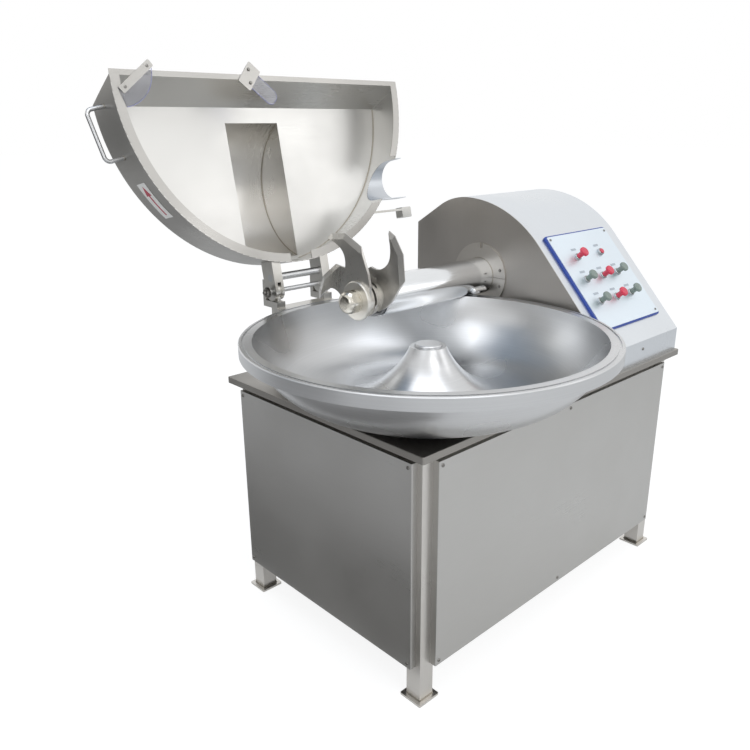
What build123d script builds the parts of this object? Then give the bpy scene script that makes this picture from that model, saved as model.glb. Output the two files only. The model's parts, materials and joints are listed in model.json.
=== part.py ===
"""Meat bowl cutter: turning bowl, knife head on a horizontal shaft, hinged lid, steel cabinet.

Millimetres, +Z up, operator's front on -Y, motor housing on +X.
The origin is the middle of the front-left foot plate, on the floor.
"""
from build123d import *
from math import atan2, cos, degrees, radians, sin, sqrt, tan
import os

# ---- cabinet: square-tube legs and rails, tray panels, deck ----
leg_span_x = 1400.0          # between leg centres, left to right
leg_span_y = 870.0           # between leg centres, front to back
leg_size = 60.0
leg_wall = 3.0
foot_size = 90.0
foot_thickness = 8.0
rail_size = 40.0
rail_wall = 3.0
lower_rail_z = 150.0         # underside of the lower rails
deck_top_z = 899.0
deck_thickness = 3.0
deck_overhang = 38.0         # beyond the outer faces of the legs
deck_lip = 23.0
panel_depth = 24.0           # of the folded tray
panel_sheet = 2.0
panel_bottom_z = 134.0
panel_top_z = 855.0
side_panel_inset = 20.0      # from the outer corner of the legs
front_panel_inset = 46.0
vent_length = 150.0
vent_height = 7.0
vent_pitch = 26.0
vent_count = 9

# ---- bowl ----
bowl_x = 278.0               # bowl axis
bowl_y = 240.0
rim_z = 1137.0
rim_radius = 618.0
rim_height = 40.0
rim_plate = 13.0             # thickness of the rim's top and band
rim_groove_radius = 604.0
rim_groove_width = 8.0
rim_groove_depth = 3.5
trough_mid_radius = 310.0    # from the bowl axis to the knife axis
trough_radius = 272.0
bowl_wall = 10.0
hump_top_radius = 60.0
cap_radius = 46.0
cap_height = 8.0
spindle_radius = 30.0
spindle_flange_radius = 50.0
spindle_flange_height = 12.0
spindle_bottom_z = 760.0
running_clearance = 0.05     # radial, shafts in their bearings

# ---- knife head and shaft ----
knife_z = 1200.0
shaft_radius = 35.0
shaft_nose_radius = 22.0
shaft_end_inset = 104.0       # from the housing's outer end
blade_tip_radius = 264.0
blade_thickness = 10.0
blade_spacer = 17.0          # between one layer of blades and the next
blade_layers = 3             # each a blade and its balancing half disc
blade_step = 60.0
first_blade_angle = 52.0     # tip of the outermost blade, from the rear towards the top
head_lead = 32.0             # first blade ahead of the bowl axis
hub_radius = 62.0
spacer_radius = 58.0
washer_radius = 70.0
washer_thickness = 14.0
nut_radius = 41.0
nut_length = 54.0
nut_dome = 24.0
nut_flange = 7.0             # round collar behind the flats
rear_flange_radius = 68.0
rear_flange_length = 16.0
tube_radius = 72.0
tube_gap = 4.0               # between the turning flange and the fixed tube
tube_inside = 142.0          # length of the tube inside the housing
bearing_land = 60.0
tube_cavity_radius = 48.0
rim_relief = 8.0             # air between the turning rim and the tube
collar_radius = 132.0
collar_thickness = 6.0
collar_slit = 2.0
seat_clearance = 0.1         # fixed parts in their seats

# ---- motor housing on the deck ----
housing_gap = 22.0           # from the bowl rim to the housing's inner end
housing_wall = 3.0
housing_front_y = -50.0
housing_outer_inset = 2.0    # from the deck's right edge
housing_back_inset = 35.0    # from the deck's rear edge
fascia_height = 87.0
slope_angle = 48.2
housing_top_z = 1507.0
front_arc_radius = 490.0
rear_arc_radius = 265.0
roof_angle = 32.0
roof_drip = 7.0

# ---- control panel ----
panel_x_offset = 58.0        # from the housing's inner end to the plate
plate_width = 415.0
plate_height = 419.0
plate_start = 88.0           # up the slope from the knee
plate_thickness = 3.0
control_box_height = 9.0
control_box_rim = 7.0        # the box is wider than the plate
column_left = 142.0          # button centres, from the housing's inner end
column_middle = 261.0
column_right = 368.0
column_stop = 174.0
column_small = 335.0
row_top = 400.0              # button centres, up the slope
row_middle = 300.0
row_bottom = 200.0
bezel_radius = 15.0
bezel_height = 6.0
stem_radius = 10.5
stem_clearance = 0.3
stem_depth = 7.0             # of the stem below the plate's face
head_radius = 19.5
head_thickness = 12.0
head_face_height = 43.0      # above the plate
small_bezel_height = 10.0
small_face_height = 13.0
button_travel = 4.0

# ---- lid, measured closed ----
lid_radius = 632.0
lid_centre_forward = 38.0    # lid arc centre, ahead of the bowl axis
lid_seat_gap = 7.5           # closed lid above the bowl rim
lid_depth = 165.0
lid_sheet = 3.0
lid_flange_width = 33.0
lid_flange_thickness = 4.0
lid_front = 71.0             # front lip, ahead of the bowl axis
lid_plate_front = 10.0       # front edge of the top plate, ahead of the bowl axis
lid_lip_width = 15.0
lid_open_angle = 101.1
hood_clearance = 18.0        # inside the hood, round the blade tips
hood_left = 140.0            # from the bowl axis
hood_right = 105.0
blade_notch = 50.0           # half width of the flange's notch for the blades
saddle_clearance = 8.0
saddle_end_gap = 35.0        # from the saddle to the housing
saddle_flange_gap = 12.0
handle_rod_radius = 7.0
handle_stand_off = 58.0
handle_length = 168.0
handle_angle = 168.0         # round the lid, from +X
handle_height = 88.0
handle_bend = 18.0
block_end_gap = 15.0         # safety switch actuator, from the housing
block_y = 455.0              # from the bowl axis
block_length = 54.0
block_width = 44.0
block_height = 40.0
block_arm_width = 9.0
block_arm_thickness = 8.0
guard_bar_thickness = 3.0
guard_bar_width = 26.0
guard_sheet_thickness = 2.0
guard_strip_length = 130.0
guard_strip_turn = 40.0

# ---- lid hinge ----
hinge_y = 931.0
hinge_z = 1190.0
hinge_pin_radius = 9.0
hinge_pin_head = 14.0
hinge_pin_reach = 140.0      # each way from the bowl axis
lug_offset = 115.0           # each way from the bowl axis
arm_width = 39.0             # of each ear and of the post below it
arm_half_depth = 35.0
tongue_width = 15.0          # of the post between the ear's two cheeks
tongue_radius = 30.0
knuckle_gap = 0.4
tie_rod_radius = 14.0
tie_rod_offset = 52.0        # above the pin with the lid open
stop_height = 40.0           # of the stop tooth above the pin
stop_thickness = 18.0
stop_gap = 0.4
pedestal_front_y = 876.0
pedestal_top_z = 1128.0
pedestal_wall = 4.0
pedestal_flange = 10.0

# ---- drives ----
knife_pulley_radius = 70.0
motor_pulley_radius = 90.0
pulley_inset = 168.0         # from the housing's outer end
pulley_width = 54.0
pulley_flange = 3.0
pulley_flange_height = 6.0
belt_width = 14.0
belt_thickness = 10.0
belt_count = 3
belt_gap = 0.3
motor_radius = 120.0
motor_length = 330.0
motor_shaft_radius = 19.0
motor_foot_height = 30.0
motor_foot_width = 220.0
terminal_box = 90.0
block_wall = 40.0            # bearing block metal beside the bore
tube_block_inset = 82.0      # bearing blocks, from the housing's inner end
shaft_block_inset = 287.0
bearing_block_length = 55.0
mount_plate_size = 340.0
mount_plate_thickness = 12.0
gearbox_size = 190.0
gearbox_height = 150.0
gearmotor_radius = 70.0
gearmotor_length = 260.0
bearing_flange_radius = 100.0
bearing_flange_height = 15.0
bearing_spigot_radius = 80.0
bearing_body_radius = 58.0
bearing_body_top_z = 1010.0
bearing_relief = 6.0

# ---- places that several sections share ----
housing_x0 = bowl_x + rim_radius + housing_gap
housing_x1 = leg_span_x + leg_size / 2 + deck_overhang - housing_outer_inset
knife_y = bowl_y + trough_mid_radius
pulley_x = housing_x1 - pulley_inset
shaft_end_x = housing_x1 - shaft_end_inset
tube_end_x = housing_x0 + tube_inside
blade_start_x = bowl_x - head_lead

parts = {}


def keep(name, shape):
    """Store one named piece."""
    shape.label = name
    parts[name] = shape


def box(x0, x1, y0, y1, z0, z1):
    """Axis-aligned box from its low and high limits."""
    size = Box(x1 - x0, y1 - y0, z1 - z0, align=(Align.MIN, Align.MIN, Align.MIN))
    return Pos(x0, y0, z0) * size


def drum_x(radius, x0, x1, y, z):
    """Cylinder along X."""
    drum = Cylinder(radius, x1 - x0, align=(Align.CENTER, Align.CENTER, Align.MIN))
    return Pos(x0, y, z) * Rot(0, 90, 0) * drum


def drum_z(radius, z0, z1, x, y):
    """Cylinder along Z."""
    drum = Cylinder(radius, z1 - z0, align=(Align.CENTER, Align.CENTER, Align.MIN))
    return Pos(x, y, z0) * drum


def square_tube(length, size, wall):
    """Square tube along Z, open at both ends."""
    middle = (Align.CENTER, Align.CENTER, Align.MIN)
    return Box(size, size, length, align=middle) - Box(size - 2 * wall, size - 2 * wall, length, align=middle)


# ================= cabinet frame =================
half_leg = leg_size / 2
deck_under_z = deck_top_z - deck_thickness
leg_places = {
    "leg_front_left": (0.0, 0.0),
    "leg_front_right": (leg_span_x, 0.0),
    "leg_rear_left": (0.0, leg_span_y),
    "leg_rear_right": (leg_span_x, leg_span_y),
}
for name, (x, y) in leg_places.items():
    foot = Box(foot_size, foot_size, foot_thickness, align=(Align.CENTER, Align.CENTER, Align.MIN))
    foot = fillet(foot.edges().filter_by(Axis.Z), 4.0)
    tube = Pos(0, 0, foot_thickness) * square_tube(deck_under_z - foot_thickness, leg_size, leg_wall)
    keep(name, Pos(x, y, 0) * (foot + tube))

motor_z = lower_rail_z + 2 * rail_size + motor_foot_height + motor_radius
motor_x1 = pulley_x - 20.0
motor_x0 = motor_x1 - motor_length
rails = []
for z in (lower_rail_z + rail_size / 2, deck_under_z - rail_size / 2):
    for y in (0.0, leg_span_y):
        rails.append(Pos(half_leg, y, z) * Rot(0, 90, 0) * square_tube(leg_span_x - leg_size, rail_size, rail_wall))
    for x in (0.0, leg_span_x):
        rails.append(Pos(x, half_leg, z) * Rot(-90, 0, 0) * square_tube(leg_span_y - leg_size, rail_size, rail_wall))
for x in (motor_x0 + 60.0, motor_x1 - 60.0):
    beam = square_tube(leg_span_y + rail_size, rail_size, rail_wall)
    rails.append(Pos(x, -rail_size / 2, lower_rail_z + 1.5 * rail_size) * Rot(-90, 0, 0) * beam)
keep("frame_rails", Compound(rails))

# ================= tray panels =================
panel_height = panel_top_z - panel_bottom_z


def tray(length):
    """Folded tray, its face on -Y and its open side on +Y at y = 0."""
    outer = box(0, length, -panel_depth, 0, panel_bottom_z, panel_top_z)
    outer = fillet(outer.edges().filter_by(Axis.Z).group_by(Axis.Y)[0], 3.0)
    inner_top = panel_top_z - panel_sheet
    inner = box(panel_sheet, length - panel_sheet, panel_sheet - panel_depth, 1, panel_bottom_z + panel_sheet, inner_top)
    return outer - inner


def vents(shape, middle_x, y, middle_z):
    """Rows of rounded ventilation slots through a sheet at y."""
    for row in range(vent_count):
        z = middle_z + (row - (vent_count - 1) / 2) * vent_pitch
        slot = Box(vent_length, 4 * panel_sheet, vent_height)
        slot = fillet(slot.edges().filter_by(Axis.Y), vent_height / 2 - 0.1)
        shape = shape - Pos(middle_x, y, z) * slot
    return shape


front_length = leg_span_x + leg_size - 2 * front_panel_inset
side_length = leg_span_y + leg_size - 2 * side_panel_inset
front_tray = tray(front_length)
rear_tray = tray(front_length)
for x in (front_length / 2 - 110.0, front_length / 2 + 110.0):
    rear_tray = vents(rear_tray, x, panel_sheet / 2 - panel_depth, panel_top_z - 200.0)
side_tray = tray(side_length)
side_vented = vents(side_tray, side_length / 2, panel_sheet / 2 - panel_depth, lower_rail_z + 230.0)
panel_x0 = front_panel_inset - half_leg
panel_y0 = side_panel_inset - half_leg
keep("front_panel", Pos(panel_x0, -half_leg, 0) * front_tray)
keep("rear_panel", Pos(panel_x0 + front_length, leg_span_y + half_leg, 0) * Rot(0, 0, 180) * rear_tray)
keep("left_panel", Pos(-half_leg, panel_y0 + side_length, 0) * Rot(0, 0, -90) * side_tray)
keep("right_panel", Pos(leg_span_x + half_leg, panel_y0, 0) * Rot(0, 0, 90) * side_vented)

# ================= deck =================
deck_x0 = -half_leg - deck_overhang
deck_x1 = leg_span_x + half_leg + deck_overhang
deck_y0 = -half_leg - deck_overhang
deck_y1 = leg_span_y + half_leg + deck_overhang
deck = box(deck_x0, deck_x1, deck_y0, deck_y1, deck_top_z - deck_lip, deck_top_z)
deck = fillet(deck.edges().filter_by(Axis.Z), 6.0)
deck = fillet(deck.faces().sort_by(Axis.Z)[-1].edges(), 2.5)
t = deck_thickness
deck = deck - box(deck_x0 + t, deck_x1 - t, deck_y0 + t, deck_y1 - t, deck_top_z - deck_lip - 1, deck_under_z)
deck = deck - drum_z(bearing_spigot_radius + seat_clearance, deck_under_z - 1, deck_top_z + 1, bowl_x, bowl_y)
belt_slot = motor_pulley_radius + 25.0
slot_x0 = pulley_x - 8.0
slot_x1 = pulley_x + pulley_width + 8.0
deck = deck - box(slot_x0, slot_x1, knife_y - belt_slot, knife_y + belt_slot, deck_under_z - 1, deck_top_z + 1)
keep("deck", deck)

# ================= bowl, its spindle and bearing =================


def trough_reach(radius, z):
    """Half width at height z of the round trough of the given radius."""
    return sqrt(radius ** 2 - (knife_z - z) ** 2)


def trough_depth(radius, r):
    """Height of the trough of the given radius at distance r from the bowl axis."""
    return knife_z - sqrt(radius ** 2 - (r - trough_mid_radius) ** 2)


outer_radius = trough_radius + bowl_wall
hump_z = trough_depth(trough_radius, hump_top_radius)
hump_under_z = hump_z - bowl_wall
lip_r = trough_mid_radius + trough_reach(trough_radius, rim_z)
band_r = rim_radius - rim_plate
rim_under_z = rim_z - rim_plate
join_r = trough_mid_radius + trough_reach(outer_radius, rim_under_z)
under_r = trough_mid_radius - trough_reach(outer_radius, hump_under_z)
groove_r0 = rim_groove_radius - rim_groove_width / 2
groove_r1 = rim_groove_radius + rim_groove_width / 2
groove_z = rim_z - rim_groove_depth
edge = 3.0
bowl_edges = [
    Line((0, 0, hump_z), (hump_top_radius, 0, hump_z)),
    ThreePointArc((hump_top_radius, 0, hump_z), (trough_mid_radius, 0, knife_z - trough_radius), (lip_r, 0, rim_z)),
    Line((lip_r, 0, rim_z), (groove_r0, 0, rim_z)),
    Line((groove_r0, 0, rim_z), (groove_r0, 0, groove_z)),
    Line((groove_r0, 0, groove_z), (groove_r1, 0, groove_z)),
    Line((groove_r1, 0, groove_z), (groove_r1, 0, rim_z)),
    Line((groove_r1, 0, rim_z), (rim_radius - edge, 0, rim_z)),
    Line((rim_radius - edge, 0, rim_z), (rim_radius, 0, rim_z - edge)),
    Line((rim_radius, 0, rim_z - edge), (rim_radius, 0, rim_z - rim_height)),
    Line((rim_radius, 0, rim_z - rim_height), (band_r, 0, rim_z - rim_height)),
    Line((band_r, 0, rim_z - rim_height), (band_r, 0, rim_under_z)),
    Line((band_r, 0, rim_under_z), (join_r, 0, rim_under_z)),
    ThreePointArc((join_r, 0, rim_under_z), (trough_mid_radius, 0, knife_z - outer_radius), (under_r, 0, hump_under_z)),
    Line((under_r, 0, hump_under_z), (0, 0, hump_under_z)),
    Line((0, 0, hump_under_z), (0, 0, hump_z)),
]
bowl_place = Pos(bowl_x, bowl_y, 0)
keep("bowl", bowl_place * revolve(make_face(bowl_edges), Axis.Z, 360))

cap = Cylinder(cap_radius, cap_height, align=(Align.CENTER, Align.CENTER, Align.MIN))
cap = fillet(cap.edges().sort_by(Axis.Z)[-1], cap_height * 0.6)
keep("bowl_cap", Pos(bowl_x, bowl_y, hump_z) * cap)

flange_z0 = hump_under_z - spindle_flange_height
spindle = drum_z(spindle_radius, spindle_bottom_z, hump_under_z, bowl_x, bowl_y)
keep("bowl_spindle", spindle + drum_z(spindle_flange_radius, flange_z0, hump_under_z, bowl_x, bowl_y))

plate_bottom_z = deck_under_z - mount_plate_thickness
bearing_flange_z = deck_top_z + bearing_flange_height
bore = spindle_radius + running_clearance
housing = drum_z(bearing_flange_radius, deck_top_z, bearing_flange_z, bowl_x, bowl_y)
housing = housing + drum_z(bearing_spigot_radius, plate_bottom_z, deck_top_z, bowl_x, bowl_y)
housing = housing + drum_z(bearing_body_radius, bearing_flange_z, bearing_body_top_z, bowl_x, bowl_y)
housing = housing - drum_z(bore, plate_bottom_z, bearing_body_top_z, bowl_x, bowl_y)
relief_r = spindle_radius + bearing_relief
housing = housing - drum_z(relief_r, bearing_flange_z, bearing_body_top_z - 30.0, bowl_x, bowl_y)
keep("bowl_bearing_housing", housing)

half_plate = mount_plate_size / 2
mount = box(bowl_x - half_plate, bowl_x + half_plate, bowl_y - half_plate, bowl_y + half_plate, plate_bottom_z, deck_under_z)
spigot_seat = bearing_spigot_radius + seat_clearance
keep("bowl_mount_plate", mount - drum_z(spigot_seat, plate_bottom_z, deck_under_z, bowl_x, bowl_y))

half_box = gearbox_size / 2
gear_z0 = plate_bottom_z - gearbox_height
gearbox = box(bowl_x - half_box, bowl_x + half_box, bowl_y - half_box, bowl_y + half_box, gear_z0, plate_bottom_z)
gearbox = fillet(gearbox.edges().filter_by(Axis.Z), 12.0)
gearbox = gearbox - drum_z(bore, spindle_bottom_z - 1.0, plate_bottom_z, bowl_x, bowl_y)
gear_x = bowl_x + half_box
gear_z = (gear_z0 + plate_bottom_z) / 2
gearbox = gearbox + drum_x(gearmotor_radius, gear_x, gear_x + gearmotor_length, bowl_y, gear_z)
gearbox = gearbox + drum_x(gearmotor_radius + 4.0, gear_x, gear_x + 14.0, bowl_y, gear_z)
keep("bowl_gearmotor", gearbox)

# ================= knife shaft, blades, clamping parts =================
head_length = blade_layers * blade_thickness + (blade_layers - 1) * blade_spacer
head_end_x = blade_start_x + head_length
flange_end_x = head_end_x + rear_flange_length
washer_x = blade_start_x - washer_thickness
nose_x = washer_x - nut_length + 12.0
shaft = drum_x(shaft_radius, blade_start_x, shaft_end_x, knife_y, knife_z)
shaft = shaft + drum_x(rear_flange_radius, head_end_x, flange_end_x, knife_y, knife_z)
keep("knife_shaft", shaft + drum_x(shaft_nose_radius, nose_x, blade_start_x, knife_y, knife_z))

# One blade outline: distance from the shaft axis and angle from the tip, point by point.
back_edge = [(hub_radius, -70), (100, -36), (115, -17), (138, 10), (173, 13), (214, 8), (254, 0)]
cutting_edge = [(blade_tip_radius, -1), (262, 6), (238, 21), (190, 42), (112, 66), (85, 84), (hub_radius, 110)]
bevel_depth = 20.0
blade_bore = shaft_radius + running_clearance


def blade(angle):
    """One blade with its tip at the given angle, flat in the YZ plane, from x = 0."""
    points = []
    for r, a in back_edge + cutting_edge:
        turn = radians(angle + a)
        points.append((0, r * cos(turn), r * sin(turn)))
    curved = Spline(points[2:7])
    outline = [Line(points[0], points[1]), Line(points[1], points[2]), curved]
    for first, second in zip(points[6:-1], points[7:]):
        outline.append(Line(first, second))
    outline.append(Line(points[-1], points[0]))
    solid = extrude(make_face(outline), amount=blade_thickness, dir=(1, 0, 0))
    long_edges = []
    for first, second in zip(points[7:10], points[8:11]):
        middle = Vector((first[0] + second[0]) / 2, (first[1] + second[1]) / 2, (first[2] + second[2]) / 2)
        long_edges.append(solid.edges().sort_by_distance(middle)[0])
    solid = chamfer(long_edges, blade_thickness * 0.7, bevel_depth)
    return solid - Rot(0, 90, 0) * Cylinder(blade_bore, 4 * blade_thickness)


def balance(angle):
    """Half disc that fills a blade's layer opposite its root and balances it."""
    disc = Rot(0, 90, 0) * Cylinder(hub_radius, blade_thickness, align=(Align.CENTER, Align.CENTER, Align.MIN))
    disc = disc - Rot(0, 90, 0) * Cylinder(blade_bore, 4 * blade_thickness)
    half = Rot(angle + 20.0, 0, 0) * Pos(0, 0, -hub_radius) * Box(4 * blade_thickness, 4 * hub_radius, 2 * hub_radius)
    return disc & half


for layer, step in enumerate((0, -1, 1)):
    tip = first_blade_angle + step * blade_step
    x = blade_start_x + layer * (blade_thickness + blade_spacer)
    pair = Compound([blade(tip), balance(tip)])
    keep("blade_pair_%d" % (layer + 1), Pos(x, knife_y, knife_z) * pair)

rings = []
for layer in range(blade_layers - 1):
    x = blade_start_x + blade_thickness + layer * (blade_thickness + blade_spacer)
    rings.append(drum_x(spacer_radius, x, x + blade_spacer, knife_y, knife_z))
rings = [ring - drum_x(blade_bore, 0, shaft_end_x, knife_y, knife_z) for ring in rings]
washer = drum_x(washer_radius, washer_x, blade_start_x, knife_y, knife_z)
washer = chamfer(washer.faces().sort_by(Axis.X)[0].edges(), 4.0)
nose_bore = shaft_nose_radius + running_clearance
rings.append(washer - drum_x(nose_bore, 0, shaft_end_x, knife_y, knife_z))
keep("blade_clamp_rings", Compound(rings))

nut = drum_x(nut_radius, washer_x - nut_length, washer_x, knife_y, knife_z)
nut = fillet(nut.faces().sort_by(Axis.X)[0].edges(), nut_dome)
for turn in range(6):
    flat = Pos(-nut_length / 2 - nut_flange, 0, nut_radius * 0.92 + 20.0) * Box(nut_length, 2 * nut_radius, 40)
    nut = nut - Pos(washer_x, knife_y, knife_z) * Rot(60 * turn, 0, 0) * flat
keep("nose_nut", nut - drum_x(nose_bore, nose_x, shaft_end_x, knife_y, knife_z))

tube_x0 = flange_end_x + tube_gap
tube = drum_x(tube_radius, tube_x0, tube_end_x, knife_y, knife_z)
tube = chamfer(tube.faces().sort_by(Axis.X)[0].edges(), 3.0)
shaft_bore = shaft_radius + running_clearance
tube = tube - drum_x(shaft_bore, tube_x0, tube_end_x, knife_y, knife_z)
tube = tube - drum_x(tube_cavity_radius, tube_x0 + bearing_land, tube_end_x - bearing_land, knife_y, knife_z)
relief_top = rim_z + rim_relief
rim_path = drum_z(rim_radius + 15.0, rim_z - 60.0, relief_top, bowl_x, bowl_y)
rim_path = rim_path - drum_z(lip_r - 15.0, rim_z - 60.0, relief_top, bowl_x, bowl_y)
keep("knife_shaft_tube", tube - rim_path)

# ================= motor housing =================
housing_y1 = deck_y1 - housing_back_inset
knee_z = deck_top_z + fascia_height
front_arc_z = housing_top_z - front_arc_radius
rear_arc_z = housing_top_z - rear_arc_radius
slope = radians(slope_angle)
roof = radians(roof_angle)
slope_end_z = front_arc_z + front_arc_radius * cos(slope)
crown_y = housing_front_y + (slope_end_z - knee_z) / tan(slope) + front_arc_radius * sin(slope)


def housing_face(inset):
    """Side profile of the housing, moved inwards by the inset, standing on the deck."""
    r1 = front_arc_radius - inset
    r2 = rear_arc_radius - inset
    front = housing_front_y + inset
    back = housing_y1 - inset
    tangent = (crown_y - r1 * sin(slope), front_arc_z + r1 * cos(slope))
    knee = tangent[1] - (tangent[0] - front) * tan(slope)
    top = front_arc_z + r1
    roof_start = (crown_y + r2 * sin(roof), rear_arc_z + r2 * cos(roof))
    eave = roof_start[1] - (back - roof_start[0]) * tan(roof)
    mid1 = (crown_y - r1 * sin(slope / 2), front_arc_z + r1 * cos(slope / 2))
    mid2 = (crown_y + r2 * sin(roof / 2), rear_arc_z + r2 * cos(roof / 2))
    lines = [
        Line((0, front, deck_top_z), (0, front, knee)),
        Line((0, front, knee), (0, tangent[0], tangent[1])),
        ThreePointArc((0, tangent[0], tangent[1]), (0, mid1[0], mid1[1]), (0, crown_y, top)),
        ThreePointArc((0, crown_y, top), (0, mid2[0], mid2[1]), (0, roof_start[0], roof_start[1])),
        Line((0, roof_start[0], roof_start[1]), (0, back, eave)),
        Line((0, back, eave), (0, back, deck_top_z)),
        Line((0, back, deck_top_z), (0, front, deck_top_z)),
    ]
    return make_face(lines), eave


def housing_solid(inset, x0, x1):
    """Housing profile extruded from x0 to x1."""
    face, eave = housing_face(inset)
    return Pos(x0, 0, 0) * extrude(face, amount=x1 - x0, dir=(1, 0, 0))


w = housing_wall
eave_z = housing_face(0)[1]
skin = housing_solid(0, housing_x0 + w, housing_x1 - w) - housing_solid(w, housing_x0, housing_x1)
rear_sheet = box(housing_x0 + w, housing_x1 - w, housing_y1 - w, housing_y1, deck_top_z, eave_z - roof_drip)
skin = skin - rear_sheet

# Everything on the sloping front is placed in this frame: X right, Y up the slope, Z outwards.
knee_place = Pos(housing_x0, housing_front_y, knee_z) * Rot(slope_angle, 0, 0)
buttons = {
    "mushroom_stop": (column_stop, row_top, True),
    "button_small_red": (column_small, row_top, False),
    "mushroom_lid": (column_left, row_middle, True),
    "mushroom_knife_stop": (column_middle, row_middle, True),
    "mushroom_knife_start": (column_right, row_middle, True),
    "mushroom_bowl_slow": (column_left, row_bottom, True),
    "mushroom_bowl_stop": (column_middle, row_bottom, True),
    "mushroom_bowl_fast": (column_right, row_bottom, True),
}
plate_x0 = panel_x_offset
plate_x1 = panel_x_offset + plate_width
plate_s1 = plate_start + plate_height
face_z = control_box_height + plate_thickness
rim = control_box_rim
control_box = box(plate_x0 - rim, plate_x1 + rim, plate_start - rim, plate_s1 + rim, 0, control_box_height)
control_box = fillet(control_box.edges().filter_by(Axis.Z), 12.0)
control_box = chamfer(control_box.faces().sort_by(Axis.Z)[-1].edges(), 2.0)
control_plate = box(plate_x0, plate_x1, plate_start, plate_s1, control_box_height, face_z)
control_plate = fillet(control_plate.edges().filter_by(Axis.Z), 8.0)
bezels = []
hole_r = stem_radius + stem_clearance
for name, (u, v, large) in buttons.items():
    hole = drum_z(hole_r, 0, face_z, u, v)
    control_box = control_box - hole
    control_plate = control_plate - hole
    top = face_z + (bezel_height if large else small_bezel_height)
    ring = drum_z(bezel_radius, face_z, top, u, v)
    ring = chamfer(ring.faces().sort_by(Axis.Z)[-1].edges(), 1.5)
    bezels.append(ring - drum_z(hole_r, face_z, top, u, v))
    face = face_z + (head_face_height if large else small_face_height)
    stem = drum_z(stem_radius, face_z - stem_depth, face, u, v)
    if large:
        head = drum_z(head_radius, face - head_thickness, face, u, v)
        head = fillet(head.faces().sort_by(Axis.Z)[-1].edges(), 6.0)
        head = fillet(head.faces().sort_by(Axis.Z)[0].edges(), 2.0)
        stem = drum_z(stem_radius, face_z - stem_depth, face - head_thickness, u, v) + head
    keep(name, knee_place * stem)
keep("control_box", knee_place * control_box)
keep("control_plate", knee_place * control_plate)
keep("button_bezels", knee_place * Compound(bezels))
keep("housing_skin", skin)
tube_seat = drum_x(tube_radius + seat_clearance, 0, housing_x1, knife_y, knife_z)
keep("housing_inner_end", housing_solid(0, housing_x0, housing_x0 + w) - tube_seat)
keep("housing_outer_end", housing_solid(0, housing_x1 - w, housing_x1))
rear_middle = (housing_x0 + housing_x1) / 2
rear_sheet = vents(rear_sheet, rear_middle, housing_y1 - w / 2, deck_top_z + 250.0)
keep("housing_rear_panel", rear_sheet)

collar = drum_x(collar_radius, housing_x0 - collar_thickness, housing_x0, knife_y, knife_z) - tube_seat
notch = box(housing_x0 - 20, housing_x0, knife_y - 14, knife_y, knife_z + collar_radius - 20, knife_z + collar_radius + 9)
collar = collar - notch
above = box(0, housing_x1, 0, deck_y1, knife_z + collar_slit / 2, housing_top_z)
below = box(0, housing_x1, 0, deck_y1, deck_top_z, knife_z - collar_slit / 2)
keep("tube_collar", Compound([collar & above, collar & below]))

# ================= bearing blocks, drives =================
blocks = []
for inset, hole in ((tube_block_inset, tube_radius + seat_clearance), (shaft_block_inset, shaft_bore)):
    x = housing_x0 + inset
    half = hole + block_wall
    body = box(x, x + bearing_block_length, knife_y - half, knife_y + half, deck_top_z, knife_z)
    body = body + drum_x(half, x, x + bearing_block_length, knife_y, knife_z)
    blocks.append(body - drum_x(hole, 0, housing_x1, knife_y, knife_z))
keep("shaft_bearing_blocks", Compound(blocks))


def pulley(radius, z):
    """Flat-bottomed belt pulley with a flange at each side."""
    wheel = drum_x(radius, pulley_x, pulley_x + pulley_width, knife_y, z)
    for x in (pulley_x, pulley_x + pulley_width - pulley_flange):
        wheel = wheel + drum_x(radius + pulley_flange_height, x, x + pulley_flange, knife_y, z)
    return wheel


keep("knife_pulley", pulley(knife_pulley_radius, knife_z) - drum_x(shaft_bore, 0, housing_x1, knife_y, knife_z))
rotor = pulley(motor_pulley_radius, motor_z)
keep("motor_pulley", rotor + drum_x(motor_shaft_radius, motor_x0 + 40.0, pulley_x, knife_y, motor_z))


def belt_loop(gap):
    """Area inside a belt run at the given distance outside both pulleys."""
    rise = knife_z - motor_z
    small = knife_pulley_radius + gap
    large = motor_pulley_radius + gap
    lean = (large - small) / rise
    side = sqrt(1 - lean ** 2)
    low = [(0, knife_y - large * side, motor_z + large * lean), (0, knife_y + large * side, motor_z + large * lean)]
    high = [(0, knife_y + small * side, knife_z + small * lean), (0, knife_y - small * side, knife_z + small * lean)]
    loop = [
        ThreePointArc(low[0], (0, knife_y, motor_z - large), low[1]),
        Line(low[1], high[0]),
        ThreePointArc(high[0], (0, knife_y, knife_z + small), high[1]),
        Line(high[1], low[0]),
    ]
    return extrude(make_face(loop), amount=belt_width, dir=(1, 0, 0))


belt = belt_loop(belt_gap + belt_thickness) - belt_loop(belt_gap)
belt_pitch = (pulley_width - 2 * pulley_flange) / belt_count
belts = []
for i in range(belt_count):
    x = pulley_x + pulley_flange + (i + 0.5) * belt_pitch - belt_width / 2
    belts.append(Pos(x, 0, 0) * belt)
keep("drive_belts", Compound(belts))

foot_top = motor_z - motor_radius + 20.0
foot_z = motor_z - motor_radius - motor_foot_height
motor = drum_x(motor_radius, motor_x0, motor_x1, knife_y, motor_z)
half_foot = motor_foot_width / 2
motor = motor + box(motor_x0 + 30.0, motor_x1 - 30.0, knife_y - half_foot, knife_y + half_foot, foot_z, foot_top)
motor_top = motor_z + motor_radius
half_terminal = terminal_box / 2
motor = motor + box(motor_x0 + 100, motor_x0 + 100 + terminal_box, knife_y - half_terminal, knife_y + half_terminal, motor_z, motor_top + 30)
keep("knife_motor", motor - drum_x(motor_shaft_radius + running_clearance, motor_x0 + 39.0, motor_x1, knife_y, motor_z))

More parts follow.
